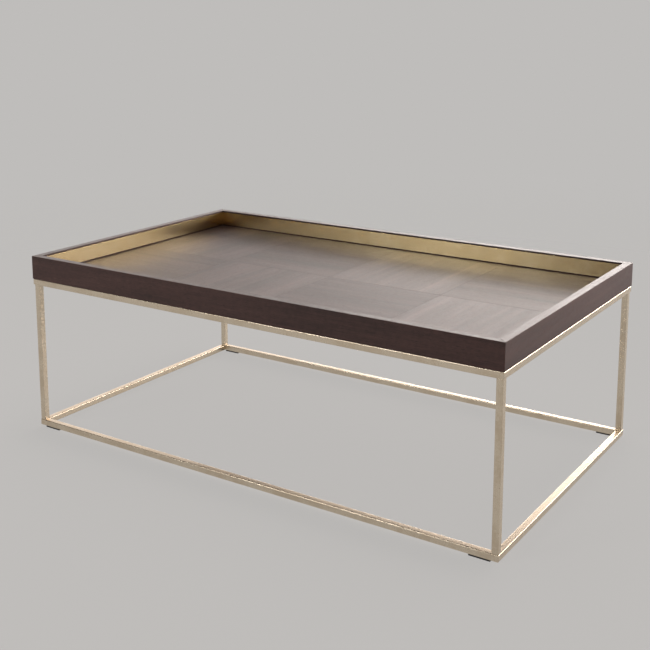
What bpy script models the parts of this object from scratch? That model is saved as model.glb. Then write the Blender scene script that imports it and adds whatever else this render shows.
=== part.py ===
"""Low rectangular tray table.

A dark stained veneer tray with an inlaid brass band round the inside of its rim
is screwed to an open base of square brass tube.  Units are metres, +Z is up,
+X runs along the tray and the origin is on the ground under its middle.
"""

from math import cos, pi, radians, sin, sqrt

import bmesh
import bpy

# Overall size
TRAY_LENGTH = 1.200
TRAY_WIDTH = 0.710
TOTAL_HEIGHT = 0.420
TRAY_HEIGHT = 0.0547

# Clearance between separate pieces that touch on the real table
GAP = 0.0003
MITRE_SETBACK = GAP / sqrt(2)

# Tray walls, with the shallow recess that holds the brass band
WALL_THICKNESS = 0.018
EDGE_EASE = 0.0006
RIM_BAND = 0.004
FOOT_BAND = 0.002
LINING_THICKNESS = 0.0012

# Tray bottom, from the underside up: backing sheet, core board, veneer leaves
BACKING_THICKNESS = 0.001
CORE_THICKNESS = 0.010
LEAF_THICKNESS = 0.001
LEAF_COLUMNS = 4
LEAF_ROWS = ("front", "back")

# Tongue round the core board, which sits in a groove in the walls
TONGUE_REACH = 0.006
TONGUE_THICKNESS = 0.005
TONGUE_DROP = 0.0027

# Square tube of the base
TUBE_SIZE = 0.014
TUBE_WALL = 0.0012
TUBE_CORNER = 0.0016
TUBE_BORE_CORNER = 0.0004
CORNER_STEPS = 4

# How far each part of the base stands back from the tray's outer faces
TOP_RING_INSET = 0.0010
LEG_INSET = 0.0030
BOTTOM_RING_INSET = 0.0025

# Fixing tabs in the corners of the top ring, and their screws
TAB_REACH = 0.045
TAB_CLIP = 0.012
TAB_THICKNESS = 0.003
SCREW_NEAR = 0.012
SCREW_FAR = 0.032
SCREW_RADIUS = 0.0018
SCREW_TIP_LENGTH = 0.003
SCREW_BITE = 0.0095
SCREW_HEAD_RADIUS = 0.0040
SCREW_HEAD_HEIGHT = 0.0022
SCREW_SIDES = 16
DRIVE_SLOT_LENGTH = 0.0042
DRIVE_SLOT_WIDTH = 0.0010
DRIVE_SLOT_DEPTH = 0.0012
HOLE_END_CLEARANCE = 0.0005

# Pads under the long bottom rails
PAD_LENGTH = 0.044
PAD_WIDTH = 0.012
PAD_HEIGHT = 0.003
PAD_EASE = 0.0005
PAD_CENTRE_FROM_END = 0.041

# Heights that follow from the sizes above
TRAY_BASE = TOTAL_HEIGHT - TRAY_HEIGHT
CORE_BOTTOM = BACKING_THICKNESS + GAP
CORE_TOP = CORE_BOTTOM + CORE_THICKNESS
LEAF_BOTTOM = CORE_TOP + GAP
FLOOR_TOP = LEAF_BOTTOM + LEAF_THICKNESS
TONGUE_BOTTOM = CORE_BOTTOM + TONGUE_DROP
TONGUE_TOP = TONGUE_BOTTOM + TONGUE_THICKNESS
RECESS_BOTTOM = FLOOR_TOP + FOOT_BAND
RECESS_TOP = TRAY_HEIGHT - RIM_BAND
BOTTOM_RING_BOTTOM = PAD_HEIGHT + GAP
BOTTOM_RING_TOP = BOTTOM_RING_BOTTOM + TUBE_SIZE
TOP_RING_TOP = TRAY_BASE - GAP
TOP_RING_BOTTOM = TOP_RING_TOP - TUBE_SIZE

HALF_LENGTH = TRAY_LENGTH / 2
HALF_WIDTH = TRAY_WIDTH / 2
INSIDE_HALF_LENGTH = HALF_LENGTH - WALL_THICKNESS - GAP
INSIDE_HALF_WIDTH = HALF_WIDTH - WALL_THICKNESS - GAP

# Each side of the table: its turn about Z from the front side, and whether it is a long side
SIDES = {"front": (0, True), "right": (90, False), "back": (180, True), "left": (270, False)}
CORNERS = {"front_left": (-1, -1), "front_right": (1, -1), "back_right": (1, 1), "back_left": (-1, 1)}


def clear_scene():
    for old in list(bpy.data.objects):
        bpy.data.objects.remove(old, do_unlink=True)


def principled(name, colour, roughness, metallic=0.0):
    material = bpy.data.materials.new(name)
    material.use_nodes = True
    material.diffuse_color = (*colour, 1.0)
    shader = material.node_tree.nodes["Principled BSDF"]
    shader.inputs["Base Color"].default_value = (*colour, 1.0)
    shader.inputs["Roughness"].default_value = roughness
    shader.inputs["Metallic"].default_value = metallic
    return material


def assembly(name, height):
    empty = bpy.data.objects.new(name, None)
    empty.location.z = height
    bpy.context.collection.objects.link(empty)
    return empty


def piece(name, points, faces, material, parent, turn=0):
    """Add one closed body, turned about Z by whole degrees, under an assembly empty."""
    mesh = bpy.data.meshes.new(name)
    mesh.from_pydata(points, [], faces)
    shape = bmesh.new()
    shape.from_mesh(mesh)
    bmesh.ops.recalc_face_normals(shape, faces=shape.faces)
    shape.to_mesh(mesh)
    shape.free()
    if material:
        mesh.materials.append(material)
    thing = bpy.data.objects.new(name, mesh)
    thing.parent = parent
    thing.rotation_euler.z = radians(turn)
    bpy.context.collection.objects.link(thing)
    return thing


def bridge(first, second):
    """Quads between two loops of point numbers of the same length."""
    count = len(first)
    quads = []
    for i in range(count):
        j = (i + 1) % count
        quads.append((first[i], first[j], second[j], second[i]))
    return quads


def solid_between(start, end):
    """Points and faces of a bar from one closed loop of points to another."""
    count = len(start)
    low = list(range(count))
    high = list(range(count, 2 * count))
    return start + end, bridge(low, high) + [tuple(low), tuple(high)]


def tube_between(start, end, bore_start, bore_end):
    """Points and faces of an open-ended tube with the given outer and bore loops."""
    count = len(start)
    outer_low, outer_high, bore_low, bore_high = (
        list(range(k * count, (k + 1) * count)) for k in range(4))
    faces = bridge(outer_low, outer_high) + bridge(bore_high, bore_low)
    faces += bridge(outer_low, bore_low) + bridge(outer_high, bore_high)
    return start + end + bore_start + bore_end, faces


def block(levels):
    """Points and faces of a stepped block: each level is half length, half width, height."""
    points = []
    faces = []
    for half_x, half_y, z in levels:
        points += [(-half_x, -half_y, z), (half_x, -half_y, z), (half_x, half_y, z), (-half_x, half_y, z)]
    for level in range(len(levels) - 1):
        low = range(4 * level, 4 * level + 4)
        high = range(4 * level + 4, 4 * level + 8)
        faces += bridge(list(low), list(high))
    last = 4 * (len(levels) - 1)
    faces += [(0, 1, 2, 3), (last, last + 1, last + 2, last + 3)]
    return points, faces


def rounded_square(size, radius):
    """Loop round a square from 0 to size each way, with round corners."""
    loop = []
    near = radius
    far = size - radius
    for quarter, (cx, cy) in enumerate(((far, far), (near, far), (near, near), (far, near))):
        for step in range(CORNER_STEPS + 1):
            angle = (quarter + step / CORNER_STEPS) * pi / 2
            loop.append((cx + radius * cos(angle), cy + radius * sin(angle)))
    return loop


def tube_loops():
    """Outer loop and bore loop of the base's tube, both from its outer corner."""
    outer = rounded_square(TUBE_SIZE, TUBE_CORNER)
    bore = rounded_square(TUBE_SIZE - 2 * TUBE_WALL, TUBE_BORE_CORNER)
    return outer, [(a + TUBE_WALL, b + TUBE_WALL) for a, b in bore]


def mitred(profile, is_long, inset, base):
    """The two mitred ends of a bar on one side of the table.

    A profile point is the distance in from the bar's outer face, and the height above base.
    """
    along = (HALF_LENGTH if is_long else HALF_WIDTH) - inset - MITRE_SETBACK
    out = (HALF_WIDTH if is_long else HALF_LENGTH) - inset
    return [[(end * (along - inward), inward - out, base + height) for inward, height in profile]
            for end in (-1, 1)]


def wall_profile():
    """Wall section: eased outer edges, groove for the tongue and recess for the band."""
    face = WALL_THICKNESS
    groove = WALL_THICKNESS - TONGUE_REACH - GAP
    recess = WALL_THICKNESS - LINING_THICKNESS - GAP
    return [(EDGE_EASE, 0), (face, 0),
            (face, TONGUE_BOTTOM - GAP), (groove, TONGUE_BOTTOM - GAP),
            (groove, TONGUE_TOP + GAP), (face, TONGUE_TOP + GAP),
            (face, RECESS_BOTTOM), (recess, RECESS_BOTTOM),
            (recess, RECESS_TOP), (face, RECESS_TOP),
            (face, TRAY_HEIGHT - EDGE_EASE), (face - EDGE_EASE, TRAY_HEIGHT),
            (EDGE_EASE, TRAY_HEIGHT), (0, TRAY_HEIGHT - EDGE_EASE), (0, EDGE_EASE)]


def lining_profile():
    """Section of the brass band, which lies flush in the recess."""
    back = WALL_THICKNESS - LINING_THICKNESS
    low = RECESS_BOTTOM + GAP
    high = RECESS_TOP - GAP
    return [(back, low), (WALL_THICKNESS, low), (WALL_THICKNESS, high), (back, high)]


def make_walls(tray, veneer, brass):
    for side, (turn, is_long) in SIDES.items():
        ends = mitred(wall_profile(), is_long, 0, 0)
        piece(f"wall_{side}", *solid_between(*ends), veneer, tray, turn)
        ends = mitred(lining_profile(), is_long, 0, 0)
        piece(f"lining_{side}", *solid_between(*ends), brass, tray, turn)


def make_core(tray, board):
    inside = (INSIDE_HALF_LENGTH, INSIDE_HALF_WIDTH)
    reach = TONGUE_REACH + GAP
    tongue = (INSIDE_HALF_LENGTH + reach, INSIDE_HALF_WIDTH + reach)
    levels = [(*inside, CORE_BOTTOM), (*inside, TONGUE_BOTTOM), (*tongue, TONGUE_BOTTOM),
              (*tongue, TONGUE_TOP), (*inside, TONGUE_TOP), (*inside, CORE_TOP)]
    return piece("core_board", *block(levels), board, tray)


def make_backing(tray, backing):
    inside = (INSIDE_HALF_LENGTH, INSIDE_HALF_WIDTH)
    levels = [(*inside, 0), (*inside, BACKING_THICKNESS)]
    return piece("backing_sheet", *block(levels), backing, tray)


def make_leaves(tray, veneer):
    """Veneer leaves of the tray floor, four along and two across."""
    leaf_length = (2 * INSIDE_HALF_LENGTH - (LEAF_COLUMNS - 1) * GAP) / LEAF_COLUMNS
    leaf_width = (2 * INSIDE_HALF_WIDTH - GAP) / len(LEAF_ROWS)
    levels = [(leaf_length / 2, leaf_width / 2, LEAF_BOTTOM), (leaf_length / 2, leaf_width / 2, FLOOR_TOP)]
    for row, row_name in enumerate(LEAF_ROWS):
        for column in range(LEAF_COLUMNS):
            leaf = piece(f"leaf_{row_name}_{column + 1}", *block(levels), veneer, tray)
            leaf.location.x = (column - (LEAF_COLUMNS - 1) / 2) * (leaf_length + GAP)
            leaf.location.y = (row - 0.5) * (leaf_width + GAP)


def make_ring(base, brass, name, inset, height):
    """Four mitred tubes that make one ring of the base."""
    outer, bore = tube_loops()
    for side, (turn, is_long) in SIDES.items():
        start, end = mitred(outer, is_long, inset, height)
        bore_start, bore_end = mitred(bore, is_long, inset, height)
        piece(f"{name}_{side}", *tube_between(start, end, bore_start, bore_end), brass, base, turn)


def make_legs(base, brass):
    """Upright tubes between the two rings."""
    heights = (BOTTOM_RING_TOP + GAP, TOP_RING_BOTTOM - GAP)
    loops = [[(a - TUBE_SIZE / 2, b - TUBE_SIZE / 2, z) for a, b in loop]
             for loop in tube_loops() for z in heights]
    for corner, (side_x, side_y) in CORNERS.items():
        leg = piece(f"leg_{corner}", *tube_between(*loops), brass, base)
        leg.location.x = side_x * (HALF_LENGTH - LEG_INSET - TUBE_SIZE / 2)
        leg.location.y = side_y * (HALF_WIDTH - LEG_INSET - TUBE_SIZE / 2)


def ring_inner_corner(side_x, side_y):
    """Inner corner of the top ring, less the clearance round the tab."""
    back = TOP_RING_INSET + TUBE_SIZE + GAP
    return side_x * (HALF_LENGTH - back), side_y * (HALF_WIDTH - back)


def screw_places():
    """Name and place of each screw: two in each corner tab."""
    places = {}
    for corner, (side_x, side_y) in CORNERS.items():
        x, y = ring_inner_corner(side_x, side_y)
        places[f"screw_{corner}_1"] = (x - side_x * SCREW_FAR, y - side_y * SCREW_NEAR)
        places[f"screw_{corner}_2"] = (x - side_x * SCREW_NEAR, y - side_y * SCREW_FAR)
    return places


def make_tabs(base, steel):
    outline = [(0, 0), (TAB_REACH, 0), (TAB_REACH, TAB_CLIP), (TAB_CLIP, TAB_REACH), (0, TAB_REACH)]
    tabs = []
    for corner, (side_x, side_y) in CORNERS.items():
        loops = [[(-side_x * a, -side_y * b, z) for a, b in outline]
                 for z in (TOP_RING_TOP - TAB_THICKNESS, TOP_RING_TOP)]
        tab = piece(f"tab_{corner}", *solid_between(*loops), steel, base)
        tab.location.x, tab.location.y = ring_inner_corner(side_x, side_y)
        tabs.append(tab)
    return tabs


def turned(profile):
    """Points and faces of a body turned about Z from a radius and height profile."""
    points = []
    rings = []
    for radius, z in profile:
        first = len(points)
        for k in range(SCREW_SIDES):
            angle = 2 * pi * k / SCREW_SIDES
            points.append((radius * cos(angle), radius * sin(angle), z))
        rings.append(list(range(first, first + SCREW_SIDES)))
    faces = [tuple(rings[0]), tuple(rings[-1])]
    for low, high in zip(rings, rings[1:]):
        faces += bridge(low, high)
    return points, faces


def at_each_screw(points, faces):
    """The same shape copied to every screw's place, for a cutter that cuts them all."""
    all_points = []
    all_faces = []
    for x, y in screw_places().values():
        start = len(all_points)
        all_points += [(x + px, y + py, pz) for px, py, pz in points]
        all_faces += [tuple(start + i for i in face) for face in faces]
    return all_points, all_faces


def cutter(name, points, faces, parent):
    shape = piece(name, *at_each_screw(points, faces), None, parent)
    shape.hide_render = True
    shape.display_type = "WIRE"
    return shape


def cut(thing, tool):
    modifier = thing.modifiers.new("cut", "BOOLEAN")
    modifier.operation = "DIFFERENCE"
    modifier.solver = "EXACT"
    modifier.object = tool


def make_screws(base, steel):
    """Pan-head screws, heads down, with a crossed drive recess."""
    head_top = TOP_RING_TOP - TAB_THICKNESS - GAP
    head_bottom = head_top - SCREW_HEAD_HEIGHT
    tip = TRAY_BASE + SCREW_BITE
    profile = [(SCREW_HEAD_RADIUS * 0.62, head_bottom),
               (SCREW_HEAD_RADIUS * 0.90, head_bottom + SCREW_HEAD_HEIGHT * 0.25),
               (SCREW_HEAD_RADIUS, head_bottom + SCREW_HEAD_HEIGHT * 0.60),
               (SCREW_HEAD_RADIUS, head_top), (SCREW_RADIUS, head_top),
               (SCREW_RADIUS, tip - SCREW_TIP_LENGTH), (SCREW_RADIUS * 0.15, tip)]
    slot = (DRIVE_SLOT_LENGTH / 2, DRIVE_SLOT_WIDTH / 2)
    heights = (head_bottom - DRIVE_SLOT_DEPTH, head_bottom + DRIVE_SLOT_DEPTH)
    slots = [cutter(f"drive_slot_{name}", *block([(half_x, half_y, z) for z in heights]), base)
             for name, (half_x, half_y) in (("x", slot), ("y", slot[::-1]))]
    for name, (x, y) in screw_places().items():
        screw = piece(name, *turned(profile), steel, base)
        screw.location.x, screw.location.y = x, y
        for tool in slots:
            cut(screw, tool)


def cut_screw_holes(pieces, base):
    """Holes through the tabs and the backing, and blind into the core board."""
    low = TOP_RING_TOP - 2 * TAB_THICKNESS
    high = TRAY_BASE + SCREW_BITE + HOLE_END_CLEARANCE
    radius = SCREW_RADIUS + GAP
    holes = cutter("screw_hole", *turned([(radius, low), (radius, high)]), base)
    for thing in pieces:
        cut(thing, holes)


def make_pads(base, rubber):
    levels = [(PAD_LENGTH / 2 - PAD_EASE, PAD_WIDTH / 2 - PAD_EASE, 0),
              (PAD_LENGTH / 2, PAD_WIDTH / 2, PAD_EASE),
              (PAD_LENGTH / 2, PAD_WIDTH / 2, PAD_HEIGHT)]
    for corner, (side_x, side_y) in CORNERS.items():
        pad = piece(f"pad_{corner}", *block(levels), rubber, base)
        pad.location.x = side_x * (HALF_LENGTH - PAD_CENTRE_FROM_END)
        pad.location.y = side_y * (HALF_WIDTH - BOTTOM_RING_INSET - TUBE_SIZE / 2)


def main():
    clear_scene()
    tray = assembly("tray_assembly", TRAY_BASE)
    base = assembly("base_assembly", 0)

    wall_veneer = principled("stained_veneer", (0.024, 0.013, 0.012), 0.35)
    floor_veneer = principled("floor_veneer", (0.034, 0.021, 0.019), 0.30)
    board = principled("core_board", (0.42, 0.30, 0.20), 0.85)
    backing = principled("backing_sheet", (0.030, 0.022, 0.020), 0.70)
    band_brass = principled("band_brass", (0.58, 0.42, 0.22), 0.30, 1.0)
    tube_brass = principled("tube_brass", (0.46, 0.37, 0.25), 0.38, 1.0)
    steel = principled("tab_steel", (0.40, 0.40, 0.40), 0.45, 1.0)
    screw_steel = principled("screw_steel", (0.55, 0.54, 0.52), 0.30, 1.0)
    rubber = principled("pad_rubber", (0.012, 0.012, 0.012), 0.80)

    make_walls(tray, wall_veneer, band_brass)
    core = make_core(tray, board)
    sheet = make_backing(tray, backing)
    make_leaves(tray, floor_veneer)

    make_ring(base, tube_brass, "top_rail", TOP_RING_INSET, TOP_RING_BOTTOM)
    make_legs(base, tube_brass)
    make_ring(base, tube_brass, "bottom_rail", BOTTOM_RING_INSET, BOTTOM_RING_BOTTOM)
    tabs = make_tabs(base, steel)
    make_screws(base, screw_steel)
    cut_screw_holes([core, sheet, *tabs], base)
    make_pads(base, rubber)
    bpy.context.view_layer.update()


main()
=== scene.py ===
"""Looks of the low rectangular tray table: finer edges, materials, studio and camera.

Units are metres, +Z is up, +X runs along the tray and the origin is on the floor under its middle.
"""

from math import cos, pi, radians, sin

import bmesh
import bpy
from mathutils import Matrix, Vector


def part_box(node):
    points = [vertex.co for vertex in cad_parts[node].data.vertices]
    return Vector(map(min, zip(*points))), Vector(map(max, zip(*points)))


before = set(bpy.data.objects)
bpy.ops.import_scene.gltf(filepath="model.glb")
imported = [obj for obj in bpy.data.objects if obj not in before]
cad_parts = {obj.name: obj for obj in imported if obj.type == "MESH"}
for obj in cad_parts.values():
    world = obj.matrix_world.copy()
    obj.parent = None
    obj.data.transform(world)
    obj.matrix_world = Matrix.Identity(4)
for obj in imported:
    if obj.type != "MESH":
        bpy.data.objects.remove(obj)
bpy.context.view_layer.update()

SIDES = ("front", "back", "left", "right")
CORNERS = ("front_left", "front_right", "back_right", "back_left")
LONG_SIDES = ("front", "back")
SCREW_NUMBERS = (1, 2)

# Seeds of the noises, and how far each axis moves for one step of the seed; leaves and tubes
# count from 0
WALL_SEED = 11
SHEET_SEED = 31
BAND_SEED = 3
WOOD_SEED_STEP = (3.7, 2.3, 1.9)
BRASS_SEED_STEP = (2.9, 1.3, 3.1)

# Fine edge rounding on the carried-over nodes
WELD_DISTANCE = 0.00001
BEVEL_STEPS = 3
BEVEL_ANGLE = 30
FLAT_FACE_WEIGHT = 80
WOOD_BEVEL = 0.00022
LEAF_BEVEL = 0.00012
BAND_BEVEL = 0.00020
TUBE_BEVEL = 0.00018
TAB_BEVEL = 0.00040
SCREW_BEVEL = 0.00006

# Stained veneer: colours from dark to pale, the figure levels between which the paler ones take
# over, the pores, and the paler stain of the outer edges, which is wear together with a painted
# edge highlight, with the mottle levels that let it show
STAIN_DARK = (0.036, 0.0150, 0.0120)
STAIN_MID = (0.074, 0.0320, 0.0265)
STAIN_LIGHT = (0.135, 0.0680, 0.0560)
MID_FROM_TO = (0.38, 0.64)
LIGHT_FROM_TO = (0.60, 0.86)
PORE_COLOUR = (0.014, 0.007, 0.006)
PORE_FROM_TO = (0.60, 0.72)
PORE_COVER = 0.75
EDGE_WEAR_AND_HIGHLIGHT_STAIN = (0.20, 0.105, 0.085)
EDGE_WEAR_AND_HIGHLIGHT_PATCHES = (0.35, 0.65)

# Noises of wood and brass: scale along the grain or brushing, scale across it, detail, roughness
WOOD_NOISES = {
    "broad": (1.6, 16, 3, 0.55),
    "cathedral": (5, 75, 4, 0.60),
    "lines": (14, 620, 2, 0.55),
    "pores": (110, 1500, 1, 0.55),
    "mottle": (95, 95, 3, 0.60),
    "pebble": (520, 520, 2, 0.55),
}

# Share of each noise in the level of the figure
FIGURE_SHARES = {"broad": 0.45, "cathedral": 0.30, "lines": 0.26, "mottle": 0.22}

# Streaks of a leaf grow with the broad noise: noise from, to, strength from, to
LEAF_STREAK_GROWTH = (0.30, 0.70, 0.4, 1.2)

# Satin lacquer: noise behind its uneven gloss, roughness taken off by figure level (level from,
# to, amount from, to), roughness added over pores, and depths of its relief
LINE_SHARE = 0.5
LACQUER_UNEVEN = (0.35, 0.65)
LACQUER_BY_LEVEL = (0.30, 0.90, -0.020, 0.020)
PORE_DULLNESS = 0.10
PEBBLE_DEPTH = 0.000012
MOTTLE_DEPTH = 0.000010
LINE_DEPTH = 0.000008
PORE_DEPTH = 0.000008

# Lacquer of the leaves, the walls and the backing sheet: roughness range and refraction.
# Leaves laid across the tray catch a little more light.
LEAF_GLOSS = {"X": (0.44, 0.52), "Y": (0.43, 0.51)}
LEAF_IOR = 1.72
WALL_GLOSS = (0.33, 0.43)
WALL_IOR = 1.42
WALL_TONE = -0.05
SHEET_GLOSS = (0.50, 0.66)
SHEET_TONE = -0.05

# How far the paler edge stain, wear together with a painted edge highlight, reaches down from the
# rim, and in from the outer faces
RIM_WEAR_AND_HIGHLIGHT = 0.0012
CORNER_WEAR_AND_HIGHLIGHT = 0.0010

# Each leaf: grain axis, tone, and streaks as (place across the grain, half width, strength);
# a negative strength is a paler streak
# The tones differ from leaf to leaf, and are set paler on leaves laid across the tray and darker on
# those along it: a painted sheen for how their grain catches the light.
LEAF_GRAIN = {
    "back_1": ("Y", 0.00, ((-0.400, 0.012, 0.12),)),
    "back_2": ("X", -0.02, ((0.081, 0.010, 0.18), (0.105, 0.020, 0.05))),
    "back_3": ("Y", 0.04, ((0.073, 0.004, -0.10), (0.159, 0.014, 0.08), (0.236, 0.004, -0.10))),
    "back_4": ("X", 0.00, ((0.080, 0.014, 0.14), (0.184, 0.005, -0.08))),
    "front_1": ("X", -0.02, ((-0.013, 0.006, 0.08), (-0.056, 0.008, 0.14))),
    "front_2": ("Y", 0.02, ((-0.279, 0.010, 0.18), (-0.171, 0.005, 0.08), (-0.094, 0.010, 0.10))),
    "front_3": ("X", -0.04, ((-0.060, 0.020, 0.08), (-0.116, 0.010, 0.10))),
    "front_4": ("Y", 0.02, ((0.317, 0.006, -0.10), (0.437, 0.010, 0.10), (0.471, 0.006, 0.08))),
}

# Brass of the band, and the paler brass finish of the tube base: clean and tarnished colour,
# range of the cloudy patina, roughness range and strength of the brush marks
BAND_BRASS = {
    "clean": (0.800, 0.650, 0.390),
    "tarnished": (0.710, 0.560, 0.310),
    "clouds": (0.45, 0.62),
    "roughness": (0.20, 0.27),
    "relief": 1.0,
}
TUBE_BRASS = {
    "clean": (0.770, 0.662, 0.520),
    "tarnished": (0.665, 0.552, 0.412),
    "clouds": (0.38, 0.55),
    "roughness": (0.24, 0.32),
    "relief": 0.12,
}
BRASS_NOISES = {
    "hair": (9, 2600, 3, 0.70),
    "streaks": (4, 420, 3, 0.55),
    "cloud": (21, 21, 5, 0.60),
    "speck": (260, 260, 3, 0.65),
}
SPECK_SHARE = 0.4
HAIR_SHARE = 0.4
STREAK_FROM_TO = (0.35, 0.75)
STREAK_COVER = 0.22
BRASS_UNEVEN = (0.38, 0.62)
HAIR_DEPTH = 0.0000015
STREAK_DEPTH = 0.000002
SPECK_DEPTH = 0.000003

# Zinc plate: bright colour, dark colour and roughness
TAB_ZINC = ((0.62, 0.61, 0.58), (0.44, 0.43, 0.41), 0.36)
SCREW_ZINC = ((0.74, 0.73, 0.70), (0.56, 0.55, 0.52), 0.26)
SPANGLE_SCALE = 190
SCRATCH_SCALES = (2400, 130, 900)
SCRATCH_SHARE = 0.3
ZINC_SHADE_FROM_TO = (0.38, 0.62)
ZINC_GLOSS_FROM_TO = (0.35, 0.65)
ZINC_DULLER = 0.10
ZINC_GLOSSIER = 0.06
SCRATCH_DEPTH = 0.00002
SCRATCH_STRENGTH = 0.4

# Rubber of the pads
RUBBER_BLACK = (0.010, 0.010, 0.010)
RUBBER_DUST = (0.040, 0.038, 0.036)
RUBBER_ROUGHNESS = (0.62, 0.85)
PIT_SCALE = 1500
PIT_DEPTH = 0.00008
PIT_STRENGTH = 0.6
DUST_SCALE = 90
DUST_FROM_TO = (0.45, 0.75)
DUST_GLOSS_FROM_TO = (0.3, 0.7)

# Fibreboard of the core
CHIP_DARK = (0.26, 0.17, 0.10)
CHIP_PALE = (0.50, 0.37, 0.24)
BOARD_STAIN = (0.20, 0.13, 0.08)
BOARD_STAIN_FROM_TO = (0.4, 0.8)
BOARD_STAIN_COVER = 0.35
BOARD_ROUGHNESS = (0.78, 0.92)
CHIP_SCALES = (420, 260, 900)
CHIP_FROM_TO = (0.35, 0.65)
CHIP_GLOSS_FROM_TO = (0.3, 0.7)
CHIP_DEPTH = 0.00015
CHIP_STRENGTH = 0.6
BOARD_CLOUD_SCALE = 60

# Studio floor
BACKGROUND = (0.521, 0.509, 0.497)
FLOOR_RADIUS = 4.2
FLOOR_SEGMENTS = 96
FLOOR_FADE = (1.4, 4.1)
FLOOR_DROP = 0.0004
FLOOR_GLOW = 0.88
FLOOR_BOUNCE = 0.80
FLOOR_COLOUR = (0.12, 0.118, 0.115)
FLOOR_ROUGHNESS = 0.9

# Light from the surroundings. Azimuths are in degrees, 0 is +Y and 90 is +X. A spread holds the
# facing (1 is straight at the azimuth) at which a light starts and at which it is full. Bottom and
# top hold the heights, for a direction of length one, between which a light fades in and out;
# above its top, HIGH_SHARE of the glow and the "above" share of a light are left.
WORLD_TINT = (1.0, 0.925, 0.880)
GLOW_AZIMUTH = -18
GLOW_SPREAD = (0.20, 0.85)
GLOW_TOP = (0.22, 0.36)
BACK_RADIANCE = 2.15
HIGH_SHARE = 0.35
FRONT_RADIANCE = 0.08
KEY_LIGHT = {
    "azimuth": -8,
    "spread": (0.84, 0.975),
    "radiance": 9.8,
    "bottom": (0.06, 0.17),
    "top": (0.20, 0.34),
    "above": 0.06,
}
SIDE_LIGHT = {
    "azimuth": 42,
    "spread": (0.78, 0.97),
    "radiance": 13.5,
    "bottom": (0.00, 0.03),
    "top": (0.15, 0.27),
    "above": 0.0,
}

# Softboxes
LAMP_COLOUR = (1.0, 0.98, 0.95)
OVERHEAD_SOFTBOX = {
    "place": (0.0, 0.3, 3.2),
    "target": (0.0, 0.0, 0.0),
    "size": (3.0, 3.0),
    "radiance": 0.60,
}
FRONT_SOFTBOX = {
    "place": (-2.45, -5.04, 1.85),
    "target": (0.1, 0.3, 0.4),
    "size": (1.55, 1.2),
    "radiance": 14.5,
}

# Camera
CAMERA_PLACE = (1.3200, -2.0216, 0.9935)
CAMERA_YAW = -33.329
CAMERA_PITCH = 9.926
CAMERA_LENS = 59.214
CAMERA_SENSOR = 36.0
CAMERA_SHIFT_Y = -0.20
CAMERA_CLIP = (0.05, 200.0)

# Places of the colour sockets on Blender's Mix node
MIX_COLOUR_INPUTS = (6, 7)
MIX_COLOUR_OUTPUT = 2


# ---------------------------------------------------------------- shader helpers

class Graph:
    """A node tree whose nodes are added and linked by short calls."""

    def __init__(self, tree, coordinates):
        self.tree = tree
        self.place = self.node("ShaderNodeTexCoord").outputs[coordinates]

    def node(self, kind):
        return self.tree.nodes.new(kind)

    def feed(self, socket, value):
        """Link an output socket, or set a plain value."""
        if isinstance(value, bpy.types.NodeSocket):
            self.tree.links.new(value, socket)
        elif isinstance(value, (int, float)):
            socket.default_value = value
        else:
            socket.default_value = tuple(value) + (1.0,) * (len(socket.default_value) - len(value))

    def maths(self, operation, first, second=0.0, clamp=False):
        node = self.node("ShaderNodeMath")
        node.operation = operation
        node.use_clamp = clamp
        self.feed(node.inputs[0], first)
        self.feed(node.inputs[1], second)
        return node.outputs[0]

    def blend(self, first, second, share):
        """Two values added in the shares one minus share and share."""
        return self.maths("ADD", self.maths("MULTIPLY", first, 1.0 - share),
                          self.maths("MULTIPLY", second, share))

    def vector(self, operation, first, second=(0.0, 0.0, 0.0), output="Vector"):
        node = self.node("ShaderNodeVectorMath")
        node.operation = operation
        self.feed(node.inputs[0], first)
        self.feed(node.inputs[1], second)
        return node.outputs[output]

    def stretched(self, scales, offset=(0, 0, 0)):
        """Position, moved by an offset and then scaled along each axis."""
        moved = self.vector("ADD", self.place, offset)
        return self.vector("MULTIPLY", moved, scales)

    def noise(self, vector, detail, roughness=0.55):
        node = self.node("ShaderNodeTexNoise")
        self.feed(node.inputs["Vector"], vector)
        node.inputs["Scale"].default_value = 1.0
        node.inputs["Detail"].default_value = detail
        node.inputs["Roughness"].default_value = roughness
        return node.outputs[0]

    def fit(self, value, low, high, new_low=0.0, new_high=1.0):
        """Map a value's range to another, with smooth ends."""
        node = self.node("ShaderNodeMapRange")
        node.interpolation_type = "SMOOTHSTEP"
        self.feed(node.inputs["Value"], value)
        node.inputs["From Min"].default_value = low
        node.inputs["From Max"].default_value = high
        node.inputs["To Min"].default_value = new_low
        node.inputs["To Max"].default_value = new_high
        return node.outputs[0]

    def mix(self, factor, first, second):
        """Colour between the first (factor 0) and the second (factor 1)."""
        node = self.node("ShaderNodeMix")
        node.data_type = "RGBA"
        first_socket, second_socket = MIX_COLOUR_INPUTS
        self.feed(node.inputs[0], factor)
        self.feed(node.inputs[first_socket], first)
        self.feed(node.inputs[second_socket], second)
        return node.outputs[MIX_COLOUR_OUTPUT]

    def mix_shaders(self, factor, first, second):
        node = self.node("ShaderNodeMixShader")
        self.feed(node.inputs[0], factor)
        self.feed(node.inputs[1], first)
        self.feed(node.inputs[2], second)
        return node.outputs[0]

    def bump(self, height, distance, strength=1.0, normal=None):
        node = self.node("ShaderNodeBump")
        node.inputs["Strength"].default_value = strength
        node.inputs["Distance"].default_value = distance
        self.feed(node.inputs["Height"], height)
        if normal is not None:
            self.feed(node.inputs["Normal"], normal)
        return node.outputs[0]

    def axis(self, name):
        node = self.node("ShaderNodeSeparateXYZ")
        self.feed(node.inputs[0], self.place)
        return node.outputs["XYZ".index(name)]

    def camera_ray(self):
        """One where the camera looks straight at a point, zero for every other ray."""
        return self.node("ShaderNodeLightPath").outputs["Is Camera Ray"]


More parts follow.
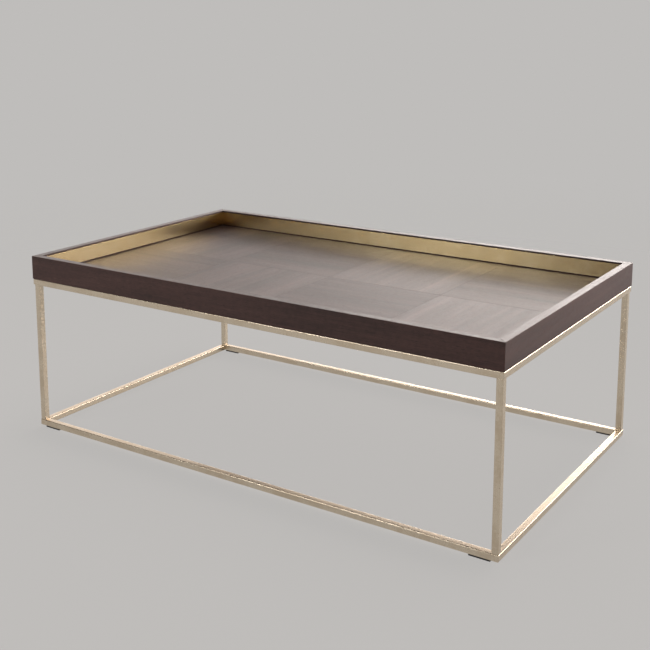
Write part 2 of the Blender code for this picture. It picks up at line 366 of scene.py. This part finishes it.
class Material(Graph):
    """A new material, placed by the object's own coordinates."""

    def __init__(self, name):
        self.material = bpy.data.materials.new(name)
        self.material.use_nodes = True
        super().__init__(self.material.node_tree, "Object")
        self.shader = self.tree.nodes["Principled BSDF"]

    def finish(self, colour, roughness, normal, metallic=0.0, ior=1.5):
        self.feed(self.shader.inputs["Base Color"], colour)
        self.feed(self.shader.inputs["Roughness"], roughness)
        self.feed(self.shader.inputs["Normal"], normal)
        self.shader.inputs["Metallic"].default_value = metallic
        self.shader.inputs["IOR"].default_value = ior
        return self.material


def make_noises(graph, table, axis, seed, seed_step):
    """The noises of a table by name, each stretched along one axis and moved by the seed."""
    offset = tuple(seed * step for step in seed_step)
    noises = {}
    for name, (along, across, detail, roughness) in table.items():
        scales = tuple(along if letter == axis else across for letter in "XYZ")
        noises[name] = graph.noise(graph.stretched(scales, offset), detail, roughness)
    return noises


# ---------------------------------------------------------------- wood

def figure_level(graph, noises, grain, tone, figure):
    """Level of the wood figure, low where it is dark."""
    level = 0.0
    for name, share in FIGURE_SHARES.items():
        level = graph.maths("ADD", level, graph.maths("MULTIPLY", noises[name], share))
    level = graph.maths("ADD", level, tone)
    across = graph.axis("Y" if grain == "X" else "X")
    for place, half_width, strength in figure:
        distance = graph.maths("DIVIDE", graph.maths("SUBTRACT", across, place), half_width)
        falloff = graph.maths("MULTIPLY", distance, distance)
        streak = graph.maths("DIVIDE", strength, graph.maths("ADD", falloff, 1.0))
        streak = graph.maths("MULTIPLY", streak, graph.fit(noises["broad"], *LEAF_STREAK_GROWTH))
        level = graph.maths("SUBTRACT", level, streak)
    return level


def stain_colour(graph, level, pores, mottle, worn_and_highlit):
    colour = graph.mix(graph.fit(level, *MID_FROM_TO), STAIN_DARK, STAIN_MID)
    colour = graph.mix(graph.fit(level, *LIGHT_FROM_TO), colour, STAIN_LIGHT)
    colour = graph.mix(graph.maths("MULTIPLY", pores, PORE_COVER), colour, PORE_COLOUR)
    if worn_and_highlit is not None:
        # Paler stain on the outer edges: wear, and a painted highlight along those edges.
        rubbed_and_highlit = graph.maths("MULTIPLY", worn_and_highlit(graph), graph.fit(mottle, *EDGE_WEAR_AND_HIGHLIGHT_PATCHES))
        colour = graph.mix(rubbed_and_highlit, colour, EDGE_WEAR_AND_HIGHLIGHT_STAIN)
    return colour


def lacquer_roughness(graph, level, pores, noises, roughness):
    uneven = graph.blend(noises["mottle"], noises["lines"], LINE_SHARE)
    gloss = graph.fit(uneven, *LACQUER_UNEVEN, *roughness)
    gloss = graph.maths("SUBTRACT", gloss, graph.fit(level, *LACQUER_BY_LEVEL))
    return graph.maths("ADD", gloss, graph.maths("MULTIPLY", pores, PORE_DULLNESS), clamp=True)


def lacquer_normal(graph, pores, noises):
    normal = graph.bump(noises["pebble"], PEBBLE_DEPTH)
    normal = graph.bump(noises["mottle"], MOTTLE_DEPTH, normal=normal)
    normal = graph.bump(noises["lines"], LINE_DEPTH, normal=normal)
    return graph.bump(graph.maths("MULTIPLY", pores, -1.0), PORE_DEPTH, normal=normal)


def veneer(name, grain, roughness, ior, seed, tone=0.0, figure=(), worn_and_highlit=None):
    """Dark stained veneer under satin lacquer, with its grain along one axis.

    figure lists streaks as in LEAF_GRAIN; the edge mask argument shows the paler stain, which paints
    wear and a highlight along the outer edges together.
    """
    graph = Material(name)
    noises = make_noises(graph, WOOD_NOISES, grain, seed, WOOD_SEED_STEP)
    level = figure_level(graph, noises, grain, tone, figure)
    pores = graph.fit(noises["pores"], *PORE_FROM_TO)
    colour = stain_colour(graph, level, pores, noises["mottle"], worn_and_highlit)
    gloss = lacquer_roughness(graph, level, pores, noises, roughness)
    return graph.finish(colour, gloss, lacquer_normal(graph, pores, noises), ior=ior)


# ---------------------------------------------------------------- metal, rubber and board

def brushed_brass(name, brushed, finish, seed):
    """Satin brass, brushed along one axis, with a faint cloudy patina."""
    graph = Material(name)
    noises = make_noises(graph, BRASS_NOISES, brushed, seed, BRASS_SEED_STEP)
    level = graph.blend(noises["cloud"], noises["speck"], SPECK_SHARE)
    colour = graph.mix(graph.fit(level, *finish["clouds"]), finish["tarnished"], finish["clean"])
    streak_cover = graph.fit(noises["streaks"], *STREAK_FROM_TO, 0.0, STREAK_COVER)
    colour = graph.mix(streak_cover, colour, finish["tarnished"])
    smoothest, roughest = finish["roughness"]
    uneven = graph.blend(level, noises["hair"], HAIR_SHARE)
    gloss = graph.fit(uneven, *BRASS_UNEVEN, roughest, smoothest)
    normal = graph.bump(noises["hair"], HAIR_DEPTH * finish["relief"])
    normal = graph.bump(noises["streaks"], STREAK_DEPTH * finish["relief"], normal=normal)
    normal = graph.bump(noises["speck"], SPECK_DEPTH * finish["relief"], normal=normal)
    return graph.finish(colour, gloss, normal, metallic=1.0)


def zinc_plate(name, bright, dark, roughness):
    """Zinc-plated steel with a faint spangle and fine scratches."""
    graph = Material(name)
    spangle = graph.noise(graph.stretched((SPANGLE_SCALE,) * 3), detail=3)
    scratch = graph.noise(graph.stretched(SCRATCH_SCALES), detail=2)
    tone = graph.blend(spangle, scratch, SCRATCH_SHARE)
    shade = graph.mix(graph.fit(tone, *ZINC_SHADE_FROM_TO), dark, bright)
    gloss = graph.fit(tone, *ZINC_GLOSS_FROM_TO, roughness + ZINC_DULLER, roughness - ZINC_GLOSSIER)
    normal = graph.bump(scratch, SCRATCH_DEPTH, SCRATCH_STRENGTH)
    return graph.finish(shade, gloss, normal, metallic=1.0)


def rubber(name):
    """Black moulded rubber with a dusty, slightly pitted surface."""
    graph = Material(name)
    pits = graph.noise(graph.stretched((PIT_SCALE,) * 3), detail=3)
    dust = graph.noise(graph.stretched((DUST_SCALE,) * 3), detail=5, roughness=0.65)
    colour = graph.mix(graph.fit(dust, *DUST_FROM_TO), RUBBER_BLACK, RUBBER_DUST)
    gloss = graph.fit(dust, *DUST_GLOSS_FROM_TO, *RUBBER_ROUGHNESS)
    return graph.finish(colour, gloss, graph.bump(pits, PIT_DEPTH, PIT_STRENGTH))


def raw_board(name):
    """Bare fibreboard core: short pale and brown chips."""
    graph = Material(name)
    chips = graph.noise(graph.stretched(CHIP_SCALES), detail=4, roughness=0.6)
    cloud = graph.noise(graph.stretched((BOARD_CLOUD_SCALE,) * 3), detail=3)
    colour = graph.mix(graph.fit(chips, *CHIP_FROM_TO), CHIP_DARK, CHIP_PALE)
    stain_cover = graph.fit(cloud, *BOARD_STAIN_FROM_TO, 0.0, BOARD_STAIN_COVER)
    colour = graph.mix(stain_cover, colour, BOARD_STAIN)
    gloss = graph.fit(chips, *CHIP_GLOSS_FROM_TO, *BOARD_ROUGHNESS)
    return graph.finish(colour, gloss, graph.bump(chips, CHIP_DEPTH, CHIP_STRENGTH))


# ---------------------------------------------------------------- carried-over nodes

def refine(node, width, material):
    """Give a CAD node fine round edges, smooth shading and its finished material."""
    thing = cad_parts[node]
    thing.data.polygons.foreach_set("use_smooth", [True] * len(thing.data.polygons))
    weld = thing.modifiers.new("weld", "WELD")
    weld.merge_threshold = WELD_DISTANCE
    bevel = thing.modifiers.new("fine_edges", "BEVEL")
    bevel.width = width
    bevel.segments = BEVEL_STEPS
    bevel.limit_method = "ANGLE"
    bevel.angle_limit = radians(BEVEL_ANGLE)
    bevel.use_clamp_overlap = True
    normals = thing.modifiers.new("flat_faces", "WEIGHTED_NORMAL")
    normals.weight = FLAT_FACE_WEIGHT
    if not thing.material_slots:
        thing.data.materials.append(material)
    for slot in thing.material_slots:
        slot.material = material


def side_axis(side):
    return "X" if side in LONG_SIDES else "Y"


def edge_wear_and_highlight(high):
    """Mask of the outer top edges and outer corners of the tray, whose high corner is given; the
    paler stain it lets through is wear plus a painted edge highlight.
    """
    def mask(graph):
        top = graph.fit(graph.axis("Z"), high.z - RIM_WEAR_AND_HIGHLIGHT, high.z)
        ends = []
        for name, limit in (("X", high.x), ("Y", high.y)):
            reach = graph.maths("ABSOLUTE", graph.axis(name))
            ends.append(graph.fit(reach, limit - CORNER_WEAR_AND_HIGHLIGHT, limit))
        corner = graph.maths("MULTIPLY", ends[0], ends[1])
        edge = graph.maths("MULTIPLY", top, graph.maths("MAXIMUM", ends[0], ends[1]))
        return graph.maths("MAXIMUM", edge, corner)
    return mask


def dress_rim():
    """Wood walls and the brass bands inside them."""
    low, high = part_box("wall_front")
    # Paler stain along the outer top edges and corners of the walls: wear plus a painted edge
    # highlight.
    wear_and_highlight = edge_wear_and_highlight(Vector((high.x, -low.y, high.z)))
    for number, side in enumerate(SIDES):
        wood = veneer(f"stained_veneer_{side}", side_axis(side), WALL_GLOSS, WALL_IOR,
                      seed=WALL_SEED + number, tone=WALL_TONE, worn_and_highlit=wear_and_highlight)
        refine(f"wall_{side}", WOOD_BEVEL, wood)
        brass = brushed_brass(f"band_brass_{side}", side_axis(side), BAND_BRASS, BAND_SEED + number)
        refine(f"lining_{side}", BAND_BEVEL, brass)


def dress_bottom():
    """Veneer leaves, the core board under them and the sheet on its underside."""
    for number, (leaf, (grain, tone, figure)) in enumerate(LEAF_GRAIN.items()):
        wood = veneer(f"floor_veneer_{leaf}", grain, LEAF_GLOSS[grain], LEAF_IOR,
                      seed=number, tone=tone, figure=figure)
        refine(f"leaf_{leaf}", LEAF_BEVEL, wood)
    refine("core_board", WOOD_BEVEL, raw_board("core_board"))
    sheet = veneer("backing_sheet", "X", SHEET_GLOSS, LEAF_IOR, seed=SHEET_SEED, tone=SHEET_TONE)
    refine("backing_sheet", LEAF_BEVEL, sheet)


def dress_base():
    """Tubes of the base, with the tabs, screws and pads at its corners."""
    finish = {}
    for number, axis in enumerate("XYZ"):
        finish[axis] = brushed_brass(f"tube_brass_{axis.lower()}", axis, TUBE_BRASS, number)
    for ring in ("top_rail", "bottom_rail"):
        for side in SIDES:
            refine(f"{ring}_{side}", TUBE_BEVEL, finish[side_axis(side)])
    tab_steel = zinc_plate("tab_steel", *TAB_ZINC)
    screw_steel = zinc_plate("screw_steel", *SCREW_ZINC)
    black = rubber("pad_rubber")
    for corner in CORNERS:
        refine(f"leg_{corner}", TUBE_BEVEL, finish["Z"])
        refine(f"tab_{corner}", TAB_BEVEL, tab_steel)
        refine(f"pad_{corner}", TAB_BEVEL, black)
        for number in SCREW_NUMBERS:
            refine(f"screw_{corner}_{number}", SCREW_BEVEL, screw_steel)


# ---------------------------------------------------------------- studio

def floor_material():
    """Pale floor, mostly lit by itself so that shadows stay faint; clear far away and from below."""
    graph = Material("studio_floor")
    graph.feed(graph.shader.inputs["Base Color"], FLOOR_COLOUR)
    graph.shader.inputs["Roughness"].default_value = FLOOR_ROUGHNESS
    graph.shader.inputs["Specular IOR Level"].default_value = 0.0
    graph.feed(graph.shader.inputs["Emission Color"], BACKGROUND)
    glow = graph.fit(graph.camera_ray(), 0.0, 1.0, FLOOR_BOUNCE, FLOOR_GLOW)
    graph.feed(graph.shader.inputs["Emission Strength"], glow)
    far = graph.fit(graph.vector("LENGTH", graph.place, output="Value"), *FLOOR_FADE)
    from_below = graph.node("ShaderNodeNewGeometry").outputs["Backfacing"]
    clear = graph.node("ShaderNodeBsdfTransparent").outputs[0]
    fade = graph.maths("MAXIMUM", far, from_below)
    surface = graph.mix_shaders(fade, graph.shader.outputs[0], clear)
    graph.feed(graph.tree.nodes["Material Output"].inputs["Surface"], surface)
    return graph.material


def make_floor():
    mesh = bpy.data.meshes.new("studio_floor")
    shape = bmesh.new()
    bmesh.ops.create_circle(shape, cap_ends=True, segments=FLOOR_SEGMENTS, radius=FLOOR_RADIUS)
    shape.to_mesh(mesh)
    shape.free()
    floor = bpy.data.objects.new("studio_floor", mesh)
    floor.location.z = -FLOOR_DROP
    bpy.context.scene.collection.objects.link(floor)
    mesh.materials.append(floor_material())


def facing(graph, azimuth):
    """How nearly a direction points to a compass angle, from 1 to -1."""
    compass = (sin(radians(azimuth)), cos(radians(azimuth)), 0.0)
    return graph.vector("DOT_PRODUCT", graph.place, compass, output="Value")


def lobe(graph, height, azimuth, spread, radiance, bottom, top, above):
    """Light from one side, between two heights; above is the share left over the top."""
    light = graph.fit(facing(graph, azimuth), *spread, 0.0, radiance)
    light = graph.maths("MULTIPLY", light, graph.fit(height, *bottom))
    return graph.maths("MULTIPLY", light, graph.fit(height, *top, 1.0, above))


def studio_light(graph, height):
    """Strength of the light by direction: a broad glow from behind, a key and a low side light."""
    glow = graph.fit(facing(graph, GLOW_AZIMUTH), *GLOW_SPREAD, FRONT_RADIANCE, BACK_RADIANCE)
    glow = graph.maths("MULTIPLY", glow, graph.fit(height, *GLOW_TOP, 1.0, HIGH_SHARE))
    key = lobe(graph, height, **KEY_LIGHT)
    side = lobe(graph, height, **SIDE_LIGHT)
    return graph.maths("ADD", glow, graph.maths("ADD", key, side))


def plain_background(graph, colour, strength=1.0):
    node = graph.node("ShaderNodeBackground")
    graph.feed(node.inputs["Color"], colour)
    graph.feed(node.inputs["Strength"], strength)
    return node.outputs[0]


def make_world():
    """Even grey surroundings for the camera and below the horizon; studio light for other rays."""
    world = bpy.data.worlds.new("studio")
    bpy.context.scene.world = world
    world.use_nodes = True
    world.node_tree.nodes.clear()
    graph = Graph(world.node_tree, "Generated")
    height = graph.axis("Z")
    given = plain_background(graph, WORLD_TINT, studio_light(graph, height))
    seen = plain_background(graph, BACKGROUND)
    below = graph.maths("LESS_THAN", height, 0.0)
    surface = graph.mix_shaders(graph.maths("MAXIMUM", graph.camera_ray(), below), given, seen)
    graph.feed(graph.node("ShaderNodeOutputWorld").inputs["Surface"], surface)


def softbox(name, place, target, size, radiance):
    """Rectangular area light of a given brightness per area, unseen by the camera."""
    lamp = bpy.data.lights.new(name, "AREA")
    lamp.shape = "RECTANGLE"
    lamp.size, lamp.size_y = size
    lamp.energy = radiance * pi * size[0] * size[1]
    lamp.color = LAMP_COLOUR
    light = bpy.data.objects.new(name, lamp)
    light.location = place
    light.rotation_mode = "QUATERNION"
    light.rotation_quaternion = (Vector(target) - Vector(place)).to_track_quat("-Z", "Y")
    light.visible_camera = False
    bpy.context.scene.collection.objects.link(light)


def make_camera():
    data = bpy.data.cameras.new("camera")
    data.lens = CAMERA_LENS
    data.sensor_width = CAMERA_SENSOR
    data.shift_y = CAMERA_SHIFT_Y
    data.clip_start, data.clip_end = CAMERA_CLIP
    camera = bpy.data.objects.new("camera", data)
    yaw = radians(CAMERA_YAW)
    pitch = radians(CAMERA_PITCH)
    aim = Vector((sin(yaw) * cos(pitch), cos(yaw) * cos(pitch), -sin(pitch)))
    camera.location = CAMERA_PLACE
    camera.rotation_mode = "QUATERNION"
    camera.rotation_quaternion = aim.to_track_quat("-Z", "Y")
    bpy.context.scene.collection.objects.link(camera)
    bpy.context.scene.camera = camera


def main():
    bpy.context.scene.view_settings.view_transform = "Standard"
    dress_rim()
    dress_bottom()
    dress_base()
    make_floor()
    make_world()
    softbox("overhead_softbox", **OVERHEAD_SOFTBOX)
    softbox("front_strip", **FRONT_SOFTBOX)
    make_camera()


main()
